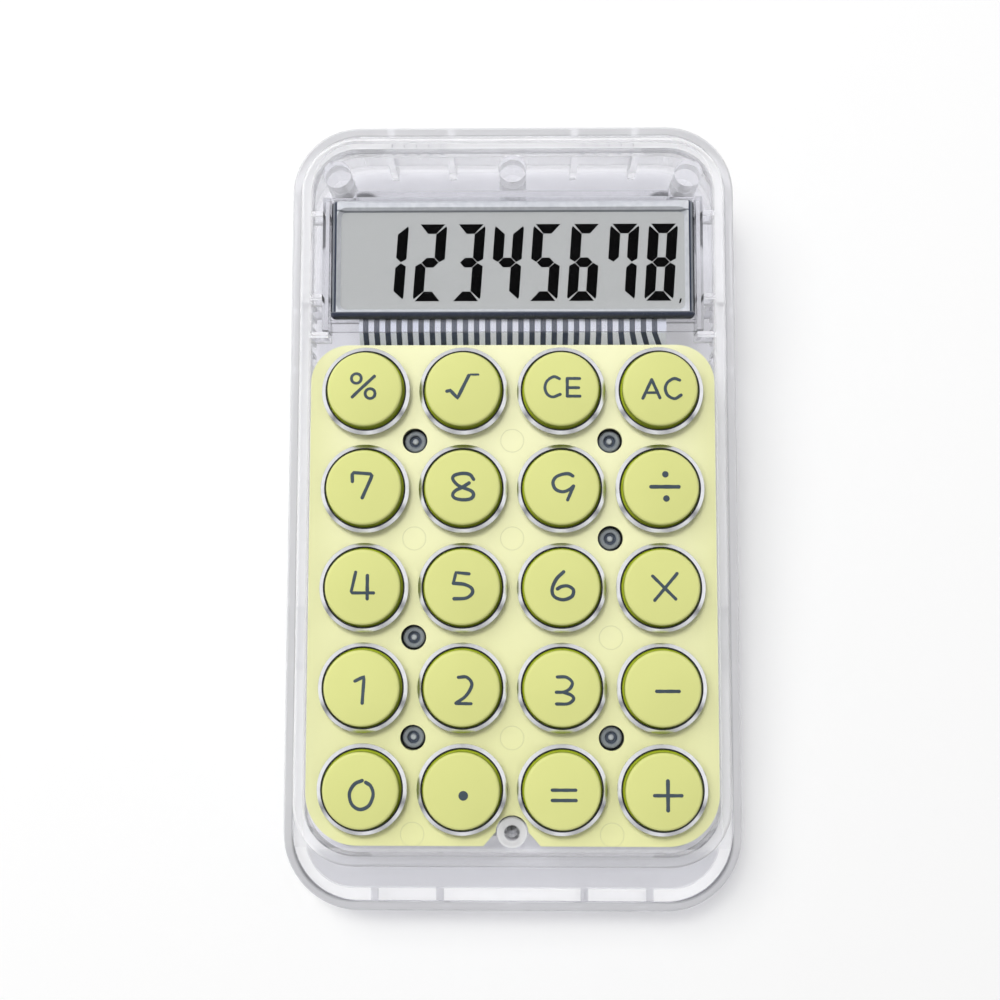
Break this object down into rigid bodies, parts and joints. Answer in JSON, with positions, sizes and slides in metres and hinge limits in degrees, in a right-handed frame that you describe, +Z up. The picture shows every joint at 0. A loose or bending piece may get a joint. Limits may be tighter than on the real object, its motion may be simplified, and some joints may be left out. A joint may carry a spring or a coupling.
{
  "type": "desk calculator",
  "caption": "Wedge-shaped desk calculator with a clear snap-together case, a pale yellow key panel, round keys that press in and spring back, and a large digit display.",
  "frame": {"origin": "on the ground under the middle of the case", "axes": "+Z up, +Y from the user towards the display, +X to the user's right"},
  "size_m": [0.0888, 0.1564, 0.0281],
  "materials": {
    "clear_plastic": "polished, clear",
    "panel_plastic": "satin, slightly translucent",
    "key_plastic": "satin",
    "bright_ring": "polished",
    "silicone": "matt",
    "board": "satin",
    "dark_screw": "black oxide",
    "bright_screw": "bright",
    "frame_plastic": "gloss",
    "display_glass": "gloss",
    "ribbon_film": "satin",
    "cell_steel": "bright",
    "clip_brass": "plated",
    "resin": "satin",
    "foot_rubber": "matt"
  },
  "bodies": {
    "case": {"upper_shell": "clear_plastic", "key_rings": "bright_ring", "lower_shell": "clear_plastic", "display_holder": "clear_plastic", "key_panel": "panel_plastic", "rubber_keypad": "silicone", "circuit_board": "board", "panel_screws": "dark_screw", "case_screw": "bright_screw", "display_frame": "frame_plastic", "display_glass": "display_glass", "display_ribbon": "ribbon_film", "coin_cell": "cell_steel", "battery_clip": "clip_brass", "battery_door": "clear_plastic", "chip_cap": "resin", "rubber_feet": "foot_rubber"},
    "key_percent": {"key_percent": "key_plastic"},
    "key_root": {"key_root": "key_plastic"},
    "key_clear_entry": {"key_clear_entry": "key_plastic"},
    "key_all_clear": {"key_all_clear": "key_plastic"},
    "key_seven": {"key_seven": "key_plastic"},
    "key_eight": {"key_eight": "key_plastic"},
    "key_nine": {"key_nine": "key_plastic"},
    "key_divide": {"key_divide": "key_plastic"},
    "key_four": {"key_four": "key_plastic"},
    "key_five": {"key_five": "key_plastic"},
    "key_six": {"key_six": "key_plastic"},
    "key_multiply": {"key_multiply": "key_plastic"},
    "key_one": {"key_one": "key_plastic"},
    "key_two": {"key_two": "key_plastic"},
    "key_three": {"key_three": "key_plastic"},
    "key_minus": {"key_minus": "key_plastic"},
    "key_zero": {"key_zero": "key_plastic"},
    "key_point": {"key_point": "key_plastic"},
    "key_equals": {"key_equals": "key_plastic"},
    "key_plus": {"key_plus": "key_plastic"}
  },
  "joints": [
    {"name": "press_percent", "type": "slide", "parent": "case", "child": "key_percent", "axis": [0, 0.0872, -0.9962], "range_m": [0, 0.002], "stiffness_N_per_m": 300, "deforming": ["rubber_keypad"]},
    {"name": "press_root", "type": "slide", "parent": "case", "child": "key_root", "axis": [0, 0.0872, -0.9962], "range_m": [0, 0.002], "stiffness_N_per_m": 300, "deforming": ["rubber_keypad"]},
    {"name": "press_clear_entry", "type": "slide", "parent": "case", "child": "key_clear_entry", "axis": [0, 0.0872, -0.9962], "range_m": [0, 0.002], "stiffness_N_per_m": 300, "deforming": ["rubber_keypad"]},
    {"name": "press_all_clear", "type": "slide", "parent": "case", "child": "key_all_clear", "axis": [0, 0.0872, -0.9962], "range_m": [0, 0.002], "stiffness_N_per_m": 300, "deforming": ["rubber_keypad"]},
    {"name": "press_seven", "type": "slide", "parent": "case", "child": "key_seven", "axis": [0, 0.0872, -0.9962], "range_m": [0, 0.002], "stiffness_N_per_m": 300, "deforming": ["rubber_keypad"]},
    {"name": "press_eight", "type": "slide", "parent": "case", "child": "key_eight", "axis": [0, 0.0872, -0.9962], "range_m": [0, 0.002], "stiffness_N_per_m": 300, "deforming": ["rubber_keypad"]},
    {"name": "press_nine", "type": "slide", "parent": "case", "child": "key_nine", "axis": [0, 0.0872, -0.9962], "range_m": [0, 0.002], "stiffness_N_per_m": 300, "deforming": ["rubber_keypad"]},
    {"name": "press_divide", "type": "slide", "parent": "case", "child": "key_divide", "axis": [0, 0.0872, -0.9962], "range_m": [0, 0.002], "stiffness_N_per_m": 300, "deforming": ["rubber_keypad"]},
    {"name": "press_four", "type": "slide", "parent": "case", "child": "key_four", "axis": [0, 0.0872, -0.9962], "range_m": [0, 0.002], "stiffness_N_per_m": 300, "deforming": ["rubber_keypad"]},
    {"name": "press_five", "type": "slide", "parent": "case", "child": "key_five", "axis": [0, 0.0872, -0.9962], "range_m": [0, 0.002], "stiffness_N_per_m": 300, "deforming": ["rubber_keypad"]},
    {"name": "press_six", "type": "slide", "parent": "case", "child": "key_six", "axis": [0, 0.0872, -0.9962], "range_m": [0, 0.002], "stiffness_N_per_m": 300, "deforming": ["rubber_keypad"]},
    {"name": "press_multiply", "type": "slide", "parent": "case", "child": "key_multiply", "axis": [0, 0.0872, -0.9962], "range_m": [0, 0.002], "stiffness_N_per_m": 300, "deforming": ["rubber_keypad"]},
    {"name": "press_one", "type": "slide", "parent": "case", "child": "key_one", "axis": [0, 0.0872, -0.9962], "range_m": [0, 0.002], "stiffness_N_per_m": 300, "deforming": ["rubber_keypad"]},
    {"name": "press_two", "type": "slide", "parent": "case", "child": "key_two", "axis": [0, 0.0872, -0.9962], "range_m": [0, 0.002], "stiffness_N_per_m": 300, "deforming": ["rubber_keypad"]},
    {"name": "press_three", "type": "slide", "parent": "case", "child": "key_three", "axis": [0, 0.0872, -0.9962], "range_m": [0, 0.002], "stiffness_N_per_m": 300, "deforming": ["rubber_keypad"]},
    {"name": "press_minus", "type": "slide", "parent": "case", "child": "key_minus", "axis": [0, 0.0872, -0.9962], "range_m": [0, 0.002], "stiffness_N_per_m": 300, "deforming": ["rubber_keypad"]},
    {"name": "press_zero", "type": "slide", "parent": "case", "child": "key_zero", "axis": [0, 0.0872, -0.9962], "range_m": [0, 0.002], "stiffness_N_per_m": 300, "deforming": ["rubber_keypad"]},
    {"name": "press_point", "type": "slide", "parent": "case", "child": "key_point", "axis": [0, 0.0872, -0.9962], "range_m": [0, 0.002], "stiffness_N_per_m": 300, "deforming": ["rubber_keypad"]},
    {"name": "press_equals", "type": "slide", "parent": "case", "child": "key_equals", "axis": [0, 0.0872, -0.9962], "range_m": [0, 0.002], "stiffness_N_per_m": 300, "deforming": ["rubber_keypad"]},
    {"name": "press_plus", "type": "slide", "parent": "case", "child": "key_plus", "axis": [0, 0.0872, -0.9962], "range_m": [0, 0.002], "stiffness_N_per_m": 300, "deforming": ["rubber_keypad"]}
  ]
}
